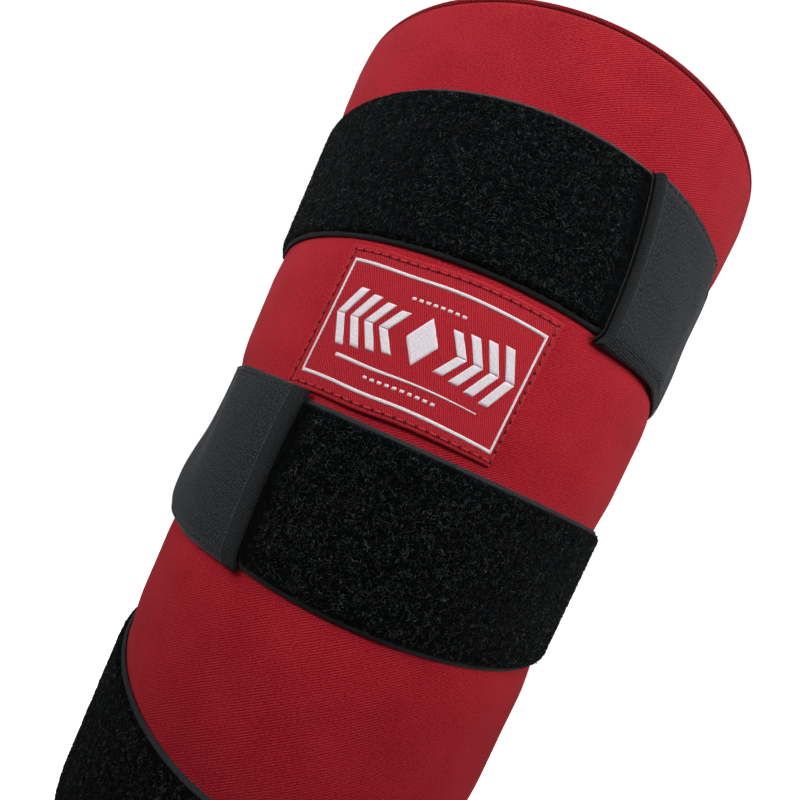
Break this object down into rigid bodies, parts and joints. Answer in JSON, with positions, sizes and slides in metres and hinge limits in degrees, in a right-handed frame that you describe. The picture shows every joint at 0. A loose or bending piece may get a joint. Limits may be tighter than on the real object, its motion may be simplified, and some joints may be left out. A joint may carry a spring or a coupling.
{
  "type": "forearm guard",
  "caption": "Padded pull-on forearm guard with a tapered fabric sleeve, strike-face foam bars, loop bands and swing-open hook-and-loop straps.",
  "frame": {"origin": "centre of the flat wrist hem, on the sleeve's axis", "axes": "+Z along the forearm from wrist to elbow, -Y out of the closure side with the loop bands, +Y out of the padded strike face, +X to the right seen from the closure side"},
  "size_m": [0.1246, 0.1271, 0.24],
  "materials": {
    "red_twill": "matt cotton and elastane twill",
    "binding": "matt woven tape",
    "loop_pile": "fluffy black loop pile",
    "strap_fabric": "smooth dark grey knit",
    "strap_hem": "finely ribbed black tape",
    "hook_tape": "black hook tape",
    "lining": "smooth black lining",
    "foam": "closed-cell foam",
    "label": "woven red label with a white border"
  },
  "bodies": {
    "sleeve": {"rear_panel": "red_twill", "front_cover": "red_twill", "rear_padding": "foam", "front_padding": "foam", "strike_pad_left": "foam", "strike_pad_centre": "foam", "strike_pad_right": "foam", "inner_liner": "lining", "wrist_binding": "binding", "elbow_binding": "binding", "wrist_loop_band": "loop_pile", "middle_loop_band": "loop_pile", "elbow_loop_band": "loop_pile", "wrist_strap_root": "strap_fabric", "middle_strap_root": "strap_fabric", "elbow_strap_root": "strap_fabric", "woven_label": "label"},
    "wrist_strap": {"wrist_strap": "strap_fabric", "wrist_hook_patch": "hook_tape", "wrist_strap_hem": "strap_hem"},
    "middle_strap": {"middle_strap": "strap_fabric", "middle_hook_patch": "hook_tape", "middle_strap_hem": "strap_hem"},
    "elbow_strap": {"elbow_strap": "strap_fabric", "elbow_hook_patch": "hook_tape", "elbow_strap_hem": "strap_hem"}
  },
  "joints": [
    {"name": "wrist_strap_hinge", "type": "hinge", "parent": "sleeve", "child": "wrist_strap", "pos_m": [0.04762, 0.00543, 0.053], "axis": [0.0772, 0.0088, 0.997], "range_deg": [0, 150]},
    {"name": "middle_strap_hinge", "type": "hinge", "parent": "sleeve", "child": "middle_strap", "pos_m": [-0.0533, 0.00607, 0.12631], "axis": [0.0772, -0.0088, -0.997], "range_deg": [0, 150]},
    {"name": "elbow_strap_hinge", "type": "hinge", "parent": "sleeve", "child": "elbow_strap", "pos_m": [0.0584, 0.00665, 0.1923], "axis": [0.0772, 0.0088, 0.997], "range_deg": [0, 150]}
  ]
}
